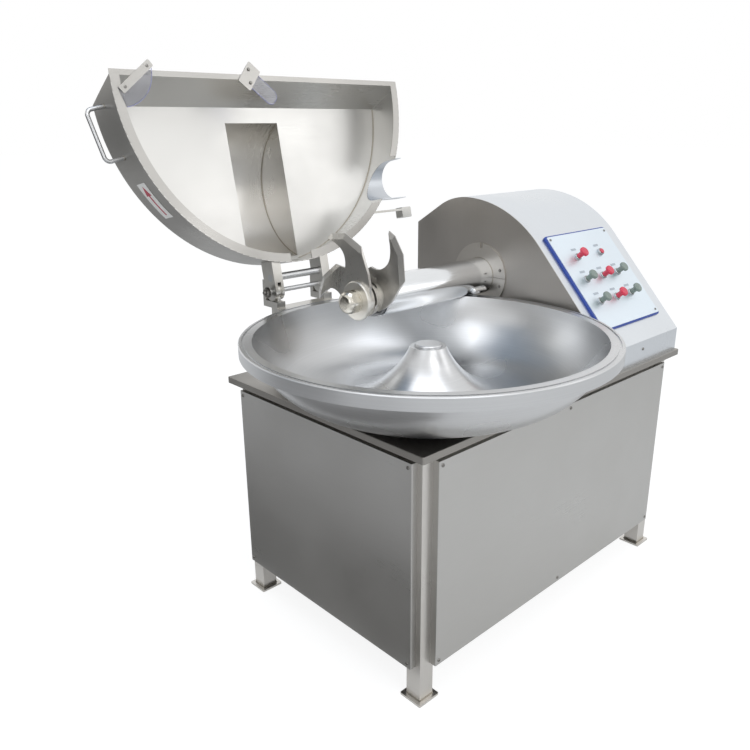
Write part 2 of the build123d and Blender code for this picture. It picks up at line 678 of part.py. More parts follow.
# ================= lid, drawn closed and then opened about its hinge =================
seat_z = rim_z + lid_seat_gap
lid_y = bowl_y - lid_centre_forward
lid_top_z = seat_z + lid_depth
front_y = bowl_y - lid_front
plate_y = bowl_y - lid_plate_front
lean_y = plate_y - front_y
far = 2 * lid_radius


def open_lid(name, shape):
    """Swing a closed lid piece to the open position and store it."""
    swing = Pos(0, hinge_y, hinge_z) * Rot(-lid_open_angle, 0, 0) * Pos(0, -hinge_y, -hinge_z)
    keep(name, swing * shape)


def behind_front(offset):
    """Everything behind the inclined front, moved back by the offset."""
    tall = lid_depth + 40.0
    slant = lean_y / lid_depth
    y0 = front_y + offset
    low = (bowl_x - far, y0 - 20 * slant, seat_z - 20)
    high = (bowl_x - far, y0 + tall * slant, seat_z + tall)
    corners = [low, high, (bowl_x - far, y0 + far, seat_z + tall), (bowl_x - far, y0 + far, seat_z - 20)]
    lines = [Line(a, b) for a, b in zip(corners, corners[1:] + corners[:1])]
    return extrude(make_face(lines), amount=2 * far, dir=(1, 0, 0))


in_r = lid_radius - lid_sheet
front_offset = lid_sheet * sqrt(1 + (lean_y / lid_depth) ** 2)
full = drum_z(lid_radius, seat_z, lid_top_z, bowl_x, lid_y) & behind_front(0)
core = drum_z(in_r, seat_z, lid_top_z, bowl_x, lid_y)
inside = drum_z(in_r, seat_z, lid_top_z - lid_sheet, bowl_x, lid_y) & behind_front(front_offset)
saddle_r = tube_radius + saddle_clearance
cut = drum_x(saddle_r, bowl_x + 100, bowl_x + far, knife_y, knife_z)
cut = cut + box(bowl_x + 100, bowl_x + far, knife_y - saddle_r, knife_y + saddle_r, seat_z - 1, knife_z)
open_lid("lid_wall", full - core - cut)

hood_r = blade_tip_radius + hood_clearance
hood_x0 = bowl_x - hood_left
hood_x1 = bowl_x + hood_right
hood_inside = drum_x(hood_r, hood_x0 + lid_sheet, hood_x1 - lid_sheet, knife_y, knife_z)
plate_slab = box(bowl_x - far, bowl_x + far, 0, 2 * far, lid_top_z - lid_sheet, lid_top_z)
open_lid("lid_top_plate", (full & core & plate_slab) - hood_inside)
lip = box(bowl_x - far, bowl_x + far, front_y - lid_lip_width, front_y + front_offset, seat_z, seat_z + lid_sheet)
lip = (lip & drum_z(lid_radius, seat_z, lid_top_z, bowl_x, lid_y)) - (full - core)
skirt = ((full & core) - behind_front(front_offset)) - plate_slab
open_lid("lid_front_skirt", skirt + lip)

ring = drum_z(in_r, seat_z, seat_z + lid_flange_thickness, bowl_x, lid_y)
ring = (ring - drum_z(lid_radius - lid_flange_width, seat_z, lid_top_z, bowl_x, lid_y)) & behind_front(front_offset)
ring = ring - box(bowl_x - blade_notch, bowl_x + blade_notch, knife_y, knife_y + far, seat_z, lid_top_z)
gap_half = saddle_r + saddle_flange_gap
ring = ring - box(bowl_x + 100, bowl_x + far, knife_y - gap_half, knife_y + gap_half, seat_z, lid_top_z)
open_lid("lid_rim_flange", ring)

hood = drum_x(hood_r + lid_sheet, hood_x0, hood_x1, knife_y, knife_z) - hood_inside
hood = hood & box(hood_x0, hood_x1, 0, 2 * far, lid_top_z, lid_top_z + far)
open_lid("knife_hood", hood)

outside = drum_z(lid_radius, seat_z - 50, lid_top_z, bowl_x, lid_y)
arch_r = saddle_r + lid_sheet
saddle_x0 = bowl_x + sqrt(lid_radius ** 2 - (knife_y + arch_r - lid_y) ** 2) - 20.0
saddle_x1 = housing_x0 - saddle_end_gap
saddle = drum_x(arch_r, saddle_x0, saddle_x1, knife_y, knife_z)
saddle = saddle + box(saddle_x0, saddle_x1, knife_y - arch_r, knife_y + arch_r, seat_z, knife_z)
above_seat = box(saddle_x0, saddle_x1, 0, far, seat_z, lid_top_z + far)
open_lid("shaft_saddle", (saddle & above_seat) - cut - outside)

reach = lid_radius + handle_stand_off
half_grip = handle_length / 2
start = lid_radius - 20.0
grip_points = [(start, -half_grip), (reach, -half_grip), (reach, half_grip), (start, half_grip)]
grip_path = FilletPolyline(*grip_points, radius=handle_bend)
grip = sweep(Plane(origin=(start, -half_grip, 0), z_dir=(1, 0, 0)) * Circle(handle_rod_radius), path=grip_path)
grip_z = seat_z + handle_height
grip = Pos(bowl_x, lid_y, grip_z) * Rot(0, 0, handle_angle) * grip
open_lid("lid_handle", grip - outside)

# Hinge ears welded to the back of the lid wall, two plates each side of each lug.
rod_dy = -tie_rod_offset * sin(radians(lid_open_angle))
rod_dz = tie_rod_offset * cos(radians(lid_open_angle))
pin_bore = drum_x(hinge_pin_radius + running_clearance, 0, far, hinge_y, hinge_z)
rod_reach = lug_offset + arm_width / 2
tie_rod = drum_x(tie_rod_radius, bowl_x - rod_reach, bowl_x + rod_reach, hinge_y + rod_dy, hinge_z + rod_dz)
ear_start = lid_y + lid_radius * cos(radians(20.0))
swing_radius = tongue_radius + 1.0
ears = []
for side in (-1, 1):
    middle = bowl_x + side * lug_offset
    x0 = middle - arm_width / 2
    x1 = middle + arm_width / 2
    ear = box(x0, x1, ear_start, hinge_y, hinge_z - arm_half_depth, hinge_z + arm_half_depth)
    ear = ear + drum_x(arm_half_depth, x0, x1, hinge_y, hinge_z)
    half_slot = tongue_width / 2 + knuckle_gap
    slot = drum_x(swing_radius, middle - half_slot, middle + half_slot, hinge_y, hinge_z)
    below = box(middle - half_slot, middle + half_slot, hinge_y - swing_radius, hinge_y + 80, hinge_z - 80, hinge_z)
    behind = box(middle - half_slot, middle + half_slot, hinge_y, hinge_y + 80, hinge_z - 80, hinge_z + 80)
    ears.append(ear - outside - pin_bore - tie_rod - slot - below - behind)
open_lid("lid_hinge_ears", Compound(ears))
open_lid("lid_tie_rod", tie_rod)

# Safety switch actuator: a block on an arm from the lid wall.
block_x1 = housing_x0 - block_end_gap
block_x0 = block_x1 - block_length
block_mid_y = bowl_y + block_y
block = box(block_x0, block_x1, block_mid_y - block_width / 2, block_mid_y + block_width / 2, seat_z, seat_z + block_height)
block = fillet(block.edges().filter_by(Axis.Z), 4.0)
arm_y = block_mid_y - block_width / 2 + 5.0
arm_x0 = bowl_x + sqrt(lid_radius ** 2 - (arm_y + block_arm_width - lid_y) ** 2) - 15.0
arm = box(arm_x0, block_x0, arm_y, arm_y + block_arm_width, seat_z, seat_z + block_arm_thickness)
open_lid("lid_switch_block", block + (arm - outside))

# Clear splash guards under the lid's front edge, each held by a clamping bar.
sheet_z0 = seat_z - guard_sheet_thickness
bar_z0 = sheet_z0 - guard_bar_thickness
bar_ax = bowl_x - lid_radius + 29.0
bar_ay = bowl_y - lid_front + 52.0
bar_bx = bar_ax + 118.0
bar_by = bar_ay - 91.0
bar_length = sqrt((bar_bx - bar_ax) ** 2 + (bar_by - bar_ay) ** 2)
bar_turn = degrees(atan2(bar_by - bar_ay, bar_bx - bar_ax))
bar = Box(bar_length, guard_bar_width, guard_bar_thickness, align=(Align.MIN, Align.CENTER, Align.MIN))
bar = Pos(bar_ax, bar_ay, bar_z0) * Rot(0, 0, bar_turn) * fillet(bar.edges().filter_by(Axis.Z), 5.0)
clamp_place = Pos(bowl_x - 108.0, bowl_y - 80.0, 0) * Rot(0, 0, guard_strip_turn)
clamp = box(-28, 28, -44, 44, bar_z0, sheet_z0)
clamp = clamp_place * fillet(clamp.edges().filter_by(Axis.Z), 5.0)
open_lid("guard_bars", Compound([bar, clamp]))
strip = box(-28, guard_strip_length, -28, 28, sheet_z0, seat_z)
strip = fillet(strip.edges().filter_by(Axis.Z).group_by(Axis.X)[-1], 24.0)
corner_start = (0, -guard_bar_width / 2, sheet_z0)
corner_end = (bar_length, -guard_bar_width / 2, sheet_z0)
corner_high = (bar_length, 0, sheet_z0)
corner_low = (-22.0, 46.0, sheet_z0)
bulge = (bar_length * 0.52, 56.0, sheet_z0)
corner_lines = [
    Line(corner_start, corner_end),
    Line(corner_end, corner_high),
    ThreePointArc(corner_high, bulge, corner_low),
    Line(corner_low, corner_start),
]
corner_sheet = extrude(make_face(corner_lines), amount=guard_sheet_thickness, dir=(0, 0, 1))
corner_sheet = Pos(bar_ax, bar_ay, 0) * Rot(0, 0, bar_turn) * corner_sheet
open_lid("guard_strip", Compound([clamp_place * strip, corner_sheet]))

# ================= lid hinge on the deck =================
half_pin = hinge_pin_reach
pin = drum_x(hinge_pin_radius, bowl_x - half_pin, bowl_x + half_pin, hinge_y, hinge_z)
for x in (bowl_x - half_pin - 8.0, bowl_x + half_pin):
    pin = pin + drum_x(hinge_pin_head, x, x + 8.0, hinge_y, hinge_z)
keep("hinge_pin", pin)
pedestal_x0 = bowl_x - lug_offset - arm_width / 2
pedestal_x1 = bowl_x + lug_offset + arm_width / 2
shell = box(pedestal_x0, pedestal_x1, pedestal_front_y, deck_y1, deck_top_z, pedestal_top_z)
shell = fillet(shell.edges().filter_by(Axis.Z), 8.0)
wall = pedestal_wall
hollow = box(pedestal_x0 + wall, pedestal_x1 - wall, pedestal_front_y + wall, deck_y1 - wall, deck_top_z - 1, pedestal_top_z - wall)
flange_top = deck_top_z + pedestal_flange
shell = shell + box(pedestal_x0 - 14, pedestal_x1 + 14, deck_y1 - 71, deck_y1, deck_top_z, flange_top)
pedestal = shell - hollow
arm_y0 = hinge_y - arm_half_depth
arm_y1 = hinge_y + arm_half_depth
post_top = hinge_z - arm_half_depth - 2.0
for side in (-1, 1):
    middle = bowl_x + side * lug_offset
    x0 = middle - arm_width / 2
    x1 = middle + arm_width / 2
    tongue_x0 = middle - tongue_width / 2
    tongue_x1 = middle + tongue_width / 2
    post = box(x0, x1, arm_y0, arm_y1 + stop_thickness, pedestal_top_z, post_top)
    tongue = box(tongue_x0, tongue_x1, hinge_y - tongue_radius * 0.8, hinge_y + tongue_radius * 0.8, post_top, hinge_z)
    tongue = tongue + drum_x(tongue_radius, tongue_x0, tongue_x1, hinge_y, hinge_z)
    stop = box(x0, x1, arm_y1, arm_y1 + stop_thickness, post_top, hinge_z + stop_height)
    reach = arm_half_depth + stop_gap
    ear_room = box(x0 - 1, x1 + 1, -4 * reach, 0, -reach, reach) + drum_x(reach, x0 - 1, x1 + 1, 0, 0)
    stop = stop - Pos(0, hinge_y, hinge_z) * Rot(-lid_open_angle, 0, 0) * ear_room
    pedestal = pedestal + ((post + tongue - pin_bore) + stop)
keep("hinge_pedestal", pedestal)

os.makedirs("parts", exist_ok=True)
for name, shape in parts.items():
    export_step(shape, "parts/" + name + ".step")
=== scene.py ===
"""Meat bowl cutter, dressed in its real metals, plastics and fasteners and set in a plain studio."""
import json
from math import asin, cos, pi, radians, sin, sqrt

import bpy
from mathutils import Matrix, Vector


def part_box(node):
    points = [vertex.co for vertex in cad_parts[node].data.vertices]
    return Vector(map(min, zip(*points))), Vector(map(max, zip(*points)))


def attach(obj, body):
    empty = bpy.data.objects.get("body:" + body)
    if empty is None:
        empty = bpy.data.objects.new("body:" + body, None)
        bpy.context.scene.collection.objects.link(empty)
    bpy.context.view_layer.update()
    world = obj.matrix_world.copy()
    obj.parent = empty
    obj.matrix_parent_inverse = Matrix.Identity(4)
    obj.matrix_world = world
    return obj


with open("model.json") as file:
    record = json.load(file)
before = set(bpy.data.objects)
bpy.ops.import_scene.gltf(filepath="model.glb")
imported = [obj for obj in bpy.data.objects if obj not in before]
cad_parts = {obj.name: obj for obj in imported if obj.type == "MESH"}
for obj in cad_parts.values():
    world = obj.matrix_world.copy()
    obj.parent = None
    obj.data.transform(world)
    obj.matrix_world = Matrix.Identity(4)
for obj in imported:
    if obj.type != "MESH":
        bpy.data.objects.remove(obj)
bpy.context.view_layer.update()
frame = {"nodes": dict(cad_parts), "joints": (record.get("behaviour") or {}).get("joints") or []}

nodes = frame["nodes"]
joints = {joint["name"]: joint for joint in frame["joints"]}

# ---- Camera ----
# It stands off the machine's front-left corner at about eye height, turned to the right and
# tipped slightly down, with a fairly wide lens and everything in focus.
camera_place = (-1.4517, -1.3611, 1.7774)
camera_pitch = 0.3226              # this and the next two in radians
camera_yaw = 0.7488
camera_roll = -0.0091
film_width = 36.0                  # this and the next in millimetres
lens_length = 35.52
level = cos(camera_pitch)
view_ahead = Vector((level * sin(camera_yaw), level * cos(camera_yaw), -sin(camera_pitch)))
view_right = Vector((cos(camera_yaw), -sin(camera_yaw), 0.0))
view_up = view_right.cross(view_ahead)
rolled_right = view_right * cos(camera_roll) + view_up * sin(camera_roll)
rolled_up = view_up * cos(camera_roll) - view_right * sin(camera_roll)
camera = bpy.data.objects.new("camera", bpy.data.cameras.new("camera"))
bpy.context.scene.collection.objects.link(camera)
camera.data.sensor_width = film_width
camera.data.lens = lens_length
camera.data.clip_end = 200.0
camera_turn = Matrix((rolled_right, rolled_up, -view_ahead)).transposed().to_4x4()
camera.matrix_world = Matrix.Translation(camera_place) @ camera_turn
bpy.context.scene.camera = camera
bpy.context.scene.view_settings.view_transform = "Standard"


# ---- Studio ----
# A white room: pale floor that keeps the machine's shadow, white all round, and cards beside
# the lens that give the steel something darker to mirror.
def colour(code):
    """sRGB hex code as linear RGBA."""
    parts = [int(code[i:i + 2], 16) / 255 for i in (1, 3, 5)]
    return tuple(c / 12.92 if c <= 0.04045 else ((c + 0.055) / 1.055) ** 2.4 for c in parts) + (1.0,)


def add(tree, kind, settings=None, **sockets):
    """Add one node; sockets, by name or as i and a number, take a value or another node's output."""
    made = tree.nodes.new(kind)
    for key, value in (settings or {}).items():
        setattr(made, key, value)
    for key, value in sockets.items():
        number = key[1:] if key[0] == "i" and key[1:].isdigit() else None
        socket = made.inputs[int(number)] if number else made.inputs[key.replace("_", " ")]
        if isinstance(value, bpy.types.NodeSocket):
            tree.links.new(value, socket)
        else:
            socket.default_value = value
    return made


def new_material(name):
    """Empty material with its node tree and output."""
    material = bpy.data.materials.new(name)
    material.use_nodes = True
    tree = material.node_tree
    tree.nodes.clear()
    return material, tree, tree.nodes.new("ShaderNodeOutputMaterial")


def mesh_piece(name, corners, faces, material, smooth=False):
    """Object from corner points and faces, in the machine's own frame."""
    mesh = bpy.data.meshes.new(name)
    mesh.from_pydata([tuple(c) for c in corners], [], faces)
    mesh.materials.append(material)
    mesh.polygons.foreach_set("use_smooth", [smooth] * len(mesh.polygons))
    mesh.update()
    made = bpy.data.objects.new(name, mesh)
    bpy.context.scene.collection.objects.link(made)
    return made


# White where the lens or the polished steel looks; a weaker, cooler sky lights matt surfaces.
white = (1.0, 1.0, 1.0, 1.0)
larger = {"operation": "MAXIMUM"}
times = {"operation": "MULTIPLY"}
sky_strength = 0.62
world = bpy.data.worlds.new("white room")
bpy.context.scene.world = world
world.use_nodes = True
sky = world.node_tree
sky.nodes.clear()
rays = add(sky, "ShaderNodeLightPath")
seen = add(sky, "ShaderNodeMath", larger, i0=rays.outputs["Is Camera Ray"], i1=rays.outputs["Is Glossy Ray"])
seen = add(sky, "ShaderNodeMath", larger, i0=seen.outputs[0], i1=rays.outputs["Is Transmission Ray"])
room = add(sky, "ShaderNodeBackground", Color=white, Strength=1.0)
fill = add(sky, "ShaderNodeBackground", Color=colour("#EDF1F5"), Strength=sky_strength)
both = add(sky, "ShaderNodeMixShader", i0=seen.outputs[0], i1=fill.outputs[0], i2=room.outputs[0])
add(sky, "ShaderNodeOutputWorld", Surface=both.outputs[0])

# Rolled floor paint, pale and matt. It glows a little towards the lens and the steel, so that
# it runs into the white room and only the shadow by the feet shows.
glow_to_lens = 0.68
glow_to_steel = 0.3
glow_added = 0.18
floor_reach = 60.0
floor_paint, tree, out = new_material("pale floor paint, rolled on")
rays = add(tree, "ShaderNodeLightPath")
matt = add(tree, "ShaderNodeBsdfDiffuse", Color=colour("#EEEEEE"))
glow = add(tree, "ShaderNodeEmission", Color=white, Strength=1.0)
to_lens, through_glass = rays.outputs["Is Camera Ray"], rays.outputs["Is Transmission Ray"]
seen = add(tree, "ShaderNodeMath", larger, i0=to_lens, i1=through_glass)
shine = add(tree, "ShaderNodeMath", times, i0=rays.outputs["Is Glossy Ray"], i1=glow_to_steel)
times_and_add = {"operation": "MULTIPLY_ADD"}
lift = add(tree, "ShaderNodeMath", times_and_add, i0=seen.outputs[0], i1=glow_to_lens, i2=shine.outputs[0])
part_matt = add(tree, "ShaderNodeMixShader", i0=lift.outputs[0], i1=matt.outputs[0], i2=glow.outputs[0])
extra = add(tree, "ShaderNodeMath", times, i0=to_lens, i1=glow_added)
halo = add(tree, "ShaderNodeEmission", Color=white, Strength=extra.outputs[0])
mixed = add(tree, "ShaderNodeAddShader", i0=part_matt.outputs[0], i1=halo.outputs[0])
tree.links.new(mixed.outputs[0], out.inputs["Surface"])
floor_corners = [(floor_reach * x, floor_reach * y, 0) for x, y in ((-1, -1), (1, -1), (1, 1), (-1, 1))]
floor = mesh_piece("floor", floor_corners, [(0, 1, 2, 3)], floor_paint)

# Matt card in four shades: the steel shows each as a soft darker field with no edge of its own.
card_paints = {}
shades = {"dark": "#5E5C58", "middle": "#D4D2D1", "shaded": "#969492", "bluish": "#8498AC"}
for shade_name, code in shades.items():
    card_paints[shade_name], tree, out = new_material(shade_name + " card, matt")
    tree.links.new(add(tree, "ShaderNodeBsdfDiffuse", Color=colour(code)).outputs[0], out.inputs["Surface"])


def card(name, centre, across, up, shade_name):
    """Flat studio card, hidden from the lens, that only polished metal sees."""
    centre, across, up = Vector(centre), Vector(across), Vector(up)
    corners = [centre - across - up, centre + across - up, centre + across + up, centre - across + up]
    made = mesh_piece(name, corners, [(0, 1, 2, 3)], card_paints[shade_name])
    made.visible_camera = False
    made.visible_diffuse = False
    made.visible_shadow = False
    return made


cards = [
    card("left_card", (-3.2, 2.6, 1.2), (0.9, 2.2, 0.0), (0, 0, 1.6), "dark"),
    card("left_floor_card", (-1.9, 0.9, 0.02), (1.7, 0.0, 0.0), (0.0, 2.3, 0.0), "middle"),
    card("near_floor_card", (-0.42, 0.95, 0.03), (0.3, 0.0, 0.0), (0.0, 1.3, 0.0), "shaded"),
    card("bluish_card_above", (0.3, 2.5, 3.9), (2.2, 0.0, 0.0), (0, 1.1, -0.5), "bluish"),
    card("dark_strip_above", (0.5, -3.4, 3.6), (2.2, 0.0, 0.0), (0, 0.2, 0.35), "dark"),
]


def soft_box(name, place, aim, width, height, watts, tint="#FFFFFF"):
    """Rectangular studio lamp pointed at a spot."""
    lamp = bpy.data.lights.new(name, "AREA")
    lamp.shape = "RECTANGLE"
    lamp.size = width
    lamp.size_y = height
    lamp.energy = watts
    lamp.color = colour(tint)[:3]
    made = bpy.data.objects.new(name, lamp)
    bpy.context.scene.collection.objects.link(made)
    made.location = place
    made.rotation_euler = (Vector(aim) - Vector(place)).to_track_quat("-Z", "Y").to_euler()
    return made


lamps = [
    soft_box("key_soft_box", (-0.6, -4.4, 4.4), (0.7, 0.4, 0.8), 3.0, 2.4, watts=80.0),
    soft_box("overhead_soft_box", (0.2, 0.2, 4.6), (0.4, 0.4, 1.0), 3.6, 3.2, watts=50.0, tint="#F2F7FF"),
    soft_box("right_fill", (3.2, -3.6, 3.4), (0.1, 1.1, 1.6), 3.0, 3.0, watts=22.0),
    soft_box("left_fill", (-4.2, -1.0, 2.6), (0.2, 0.4, 1.0), 2.4, 2.4, watts=14.0, tint="#F4F8FF"),
]


# ---- Cabinet frame: legs and rails ----
# Square stainless tube, cut, welded and linished along its length with a belt. Each leg
# ends in a welded foot plate that stands on the floor.
def darker(paint, share):
    """Linear RGBA with a share of its light taken away."""
    return tuple(c * (1.0 - share) for c in paint[:3]) + (1.0,)


def brushed_steel(name, tint, rough, grain, depth=0.25, patch=0.08, dark=0.12):
    """Metal with scratches that measure grain millimetres along x, y and z.

    Real scratches are 0.05 to 0.1 mm wide, too fine to show, so the widest are drawn 1.2 to
    5 mm wide and the finest a sixteenth of that. Cloudy patches some 310 mm across vary the
    shine, as handling and wiping do.
    """
    patch_size = 312.5
    material, tree, out = new_material(name)
    where = add(tree, "ShaderNodeTexCoord")
    per_metre = [1000 / size for size in grain]
    fine = add(tree, "ShaderNodeMapping", Vector=where.outputs["Object"], Scale=per_metre)
    scratch = add(tree, "ShaderNodeTexNoise", Vector=fine.outputs[0], Scale=1.0, Detail=4.0, Roughness=0.65)
    cloud = add(tree, "ShaderNodeTexNoise", Vector=where.outputs["Object"], Scale=1000 / patch_size,
                Detail=3.0, Roughness=0.5)
    wear = add(tree, "ShaderNodeMapRange", Value=cloud.outputs[0], From_Min=0.3, From_Max=0.7,
               To_Min=rough - patch, To_Max=rough + patch)
    line = add(tree, "ShaderNodeMapRange", Value=scratch.outputs[0], From_Min=0.3, From_Max=0.7,
               To_Min=-0.04, To_Max=0.04)
    gloss = add(tree, "ShaderNodeMath", {"operation": "ADD"}, i0=wear.outputs[0], i1=line.outputs[0])
    base = colour(tint)
    toned = add(tree, "ShaderNodeMix", {"data_type": "RGBA"}, Factor=scratch.outputs[0],
                i6=darker(base, dark), i7=base)
    relief = add(tree, "ShaderNodeBump", Height=scratch.outputs[0], Strength=depth, Distance=0.0002)
    steel = add(tree, "ShaderNodeBsdfPrincipled", Base_Color=toned.outputs[2], Metallic=1.0,
                Roughness=gloss.outputs[0], Normal=relief.outputs[0])
    tree.links.new(steel.outputs[0], out.inputs["Surface"])
    return material


def dress(names, material):
    """Give CAD pieces their material and slot."""
    for name in names:
        piece = nodes[name]
        piece.data.materials.clear()
        piece.data.materials.append(material)


# Belt lines run up the legs and smear the glints upwards, a little darker in the scratches.
leg_steel = brushed_steel("304 stainless tube, belt linished", "#DBD8D3", 0.34, (1.43, 1.43, 167))
dress([name for name in nodes if name.startswith("leg_")] + ["frame_rails"], leg_steel)


def tube_faces(rings, sides):
    """Faces of an open tube whose corners come ring by ring."""
    faces = []
    for k in range(rings - 1):
        for j in range(sides):
            a = k * sides + j
            b = k * sides + (j + 1) % sides
            faces.append((a, b, b + sides, a + sides))
    return faces


def weld(name, path, radius, body, ripple=0.12):
    """Rippled weld bead along a path of points, sunk half into the seam it runs on."""
    sides = 8
    corners = []
    for k, spot in enumerate(path):
        ahead = (path[min(k + 1, len(path) - 1)] - path[max(k - 1, 0)]).normalized()
        side = ahead.orthogonal().normalized()
        over = ahead.cross(side)
        here = radius * (1.0 + ripple * (1 if k % 2 else -1))
        turns = [2 * pi * j / sides for j in range(sides)]
        corners += [spot + (side * cos(a) + over * sin(a)) * here for a in turns]
    made = mesh_piece(name, corners, tube_faces(len(path), sides), weld_steel, smooth=True)
    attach(made, body)
    return made


def line_path(start, end, step=0.004):
    """Evenly spaced points from start to end, one for each ripple of a weld."""
    start, end = Vector(start), Vector(end)
    count = max(2, round((end - start).length / step))
    return [start.lerp(end, k / count) for k in range(count + 1)]


def arc_path(centre, radius, along, over, first, last, step=0.004):
    """Points on an arc from angle first to last, measured from along towards over."""
    count = max(4, round(radius * abs(last - first) / step))
    turns = [first + (last - first) * k / count for k in range(count + 1)]
    return [centre + (along * cos(a) + over * sin(a)) * radius for a in turns]


# Weld metal is left as it set and wire brushed: duller than the sheet and a little
# straw-coloured, with a grain of 4 mm like its ripples.
weld_steel = brushed_steel("stainless weld bead, wire brushed", "#A7A196", 0.42, (4, 4, 4), depth=0.2)
foot_thickness = 0.008
half_leg = 0.03
for name in ("leg_front_left", "leg_front_right", "leg_rear_left", "leg_rear_right"):
    leg_low, leg_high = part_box(name)
    leg_middle = (leg_low + leg_high) / 2
    ring = [(-half_leg, -half_leg), (half_leg, -half_leg), (half_leg, half_leg), (-half_leg, half_leg)]
    foot_corners = [Vector((leg_middle.x + x, leg_middle.y + y, foot_thickness)) for x, y in ring]
    for k in range(4):
        seam = line_path(foot_corners[k], foot_corners[(k + 1) % 4])
        weld("%s_foot_weld_%d" % (name, k), seam, 0.003, "cabinet")

# ---- Tray panels ----
# Folded trays of stainless sheet, brushed from side to side and set between the legs. Small
# pan-head screws hold the front and left ones at the corners, and the front one at mid length too.
# The grain runs level, so the panels mirror the room as flat, pale bands.
level_grain = (167, 167, 1.25)
panel_steel = brushed_steel("304 stainless sheet, brushed across", "#C4C3C0", 0.36, level_grain, depth=0.2)
dress(["front_panel", "rear_panel", "left_panel", "right_panel"], panel_steel)
# Cold-headed screws have no grain, only a soft shine that is darker than the sheet round them.
screw_steel = brushed_steel("A2 stainless screw, cold headed", "#8E8C88", 0.3, (3.33, 3.33, 3.33), depth=0.1)


def lathe(name, outline, place, axis, body, material, sides=24):
    """Turned piece: (radius, height) points spun about an axis that starts at place."""
    turns = [2 * pi * k / sides for k in range(sides)]
    corners = [(radius * cos(a), radius * sin(a), height) for radius, height in outline for a in turns]
    faces = tube_faces(len(outline), sides)
    faces.append(tuple(reversed(range(sides))))
    faces.append(tuple(range(len(corners) - sides, len(corners))))
    made = mesh_piece(name, corners, faces, material, smooth=True)
    made.data.set_sharp_from_angle(angle=radians(35))
    turned = Vector((0, 0, 1)).rotation_difference(Vector(axis)).to_matrix().to_4x4()
    made.data.transform(Matrix.Translation(place) @ turned)
    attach(made, body)
    return made


def pan_screw(name, place, axis, body, size=0.006):
    """Pan-head screw seated on a sheet, with its driver recess as a dished middle."""
    head = [(size, 0.0), (size, 0.0012), (size * 0.8, 0.0026), (size * 0.35, 0.0031), (size * 0.3, 0.0018)]
    return lathe(name, head, place, axis, body, screw_steel)


front_low, front_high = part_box("front_panel")
left_low, left_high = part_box("left_panel")
screw_inset = 0.016
front_middle = (front_low.x + front_high.x) / 2
for k, x in enumerate((front_low.x + screw_inset, front_middle, front_high.x - screw_inset)):
    for j, z in enumerate((front_low.z + screw_inset, front_high.z - screw_inset)):
        pan_screw("front_panel_screw_%d%d" % (k, j), (x, front_low.y, z), (0, -1, 0), "cabinet")
for k, y in enumerate((left_low.y + screw_inset, left_high.y - screw_inset)):
    for j, z in enumerate((left_low.z + screw_inset, left_high.z - screw_inset)):
        pan_screw("left_panel_screw_%d%d" % (k, j), (left_low.x, y, z), (-1, 0, 0), "cabinet")

# ---- Deck ----
# One folded stainless tray with welded corners, laid over the frame. The plate that carries
# the bowl's bearing is bolted under it.
# Washing down has rubbed it by hand in short strokes along the machine, which leaves it duller.
# Its darker grey tint is painted shade, standing in for the dark that the deck top mirrors.
deck_steel_painted_dark = brushed_steel("304 stainless deck, hand brushed", "#9E9B96", 0.4, (111, 2, 2), depth=0.2)
dress(["deck"], deck_steel_painted_dark)
# The bowl's mount plate takes the same darker tint, with its painted shade.
dress(["bowl_mount_plate"], deck_steel_painted_dark)


# ---- Bowl ----
# Ring trough cast in stainless steel, turned inside and out on a vertical lathe and mopped.
# It sits on a turned spindle in an iron bearing housing.
def turned_steel(name, tint, rough, centre, pitch, depth=0.2):
    """Metal with circular tool marks, pitch millimetres apart, about a vertical axis at centre.

    Patches some 330 mm across vary the shine a little, softly enough to leave no line.
    """
    patch_size = 333.3
    material, tree, out = new_material(name)
    where = add(tree, "ShaderNodeTexCoord")
    to_axis = (-centre[0], -centre[1], 0.0)
    shift = add(tree, "ShaderNodeMapping", Vector=where.outputs["Object"], Location=to_axis)
    flat = add(tree, "ShaderNodeVectorMath", times, i0=shift.outputs[0], i1=(1.0, 1.0, 0.0))
    reach = add(tree, "ShaderNodeVectorMath", {"operation": "LENGTH"}, i0=flat.outputs[0])
    apart = add(tree, "ShaderNodeSeparateXYZ", Vector=shift.outputs[0])
    lane = add(tree, "ShaderNodeCombineXYZ", X=reach.outputs["Value"], Y=apart.outputs[2], Z=0.0)
    marks = add(tree, "ShaderNodeTexNoise", Vector=lane.outputs[0], Scale=1000 / pitch,
                Detail=3.0, Roughness=0.6)
    cloud = add(tree, "ShaderNodeTexNoise", Vector=where.outputs["Object"], Scale=1000 / patch_size,
                Detail=1.0)
    wear = add(tree, "ShaderNodeMapRange", {"interpolation_type": "SMOOTHSTEP"}, Value=cloud.outputs[0],
               From_Min=0.2, From_Max=0.8, To_Min=rough - 0.04, To_Max=rough + 0.04)
    relief = add(tree, "ShaderNodeBump", Height=marks.outputs[0], Strength=depth, Distance=0.0002)
    base = colour(tint)
    toned = add(tree, "ShaderNodeMix", {"data_type": "RGBA"}, Factor=marks.outputs[0],
                i6=darker(base, 0.14), i7=base)
    steel = add(tree, "ShaderNodeBsdfPrincipled", Base_Color=toned.outputs[2], Metallic=1.0,
                Roughness=wear.outputs[0], Normal=relief.outputs[0])
    tree.links.new(steel.outputs[0], out.inputs["Surface"])
    return material


bowl_axis = (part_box("bowl_cap")[0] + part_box("bowl_cap")[1]) / 2
bowl_place = (bowl_axis.x, bowl_axis.y)
# Rings run round the trough and spread the light into soft fans. A real feed is about 0.3 mm,
# too fine to show, so the marks are drawn 4.5 mm apart.
bowl_steel = turned_steel("cast stainless, turned and mopped", "#D4D5D6", 0.29, bowl_place, 4.5, depth=0.05)
dress(["bowl", "bowl_cap"], bowl_steel)
# The spindle is left as turned, grey and lined by a 0.6 mm feed.
spindle_steel = turned_steel("turned shaft steel", "#8F9092", 0.3, bowl_place, 0.6)
dress(["bowl_spindle"], spindle_steel)
dress(["bowl_bearing_housing"], spindle_steel)

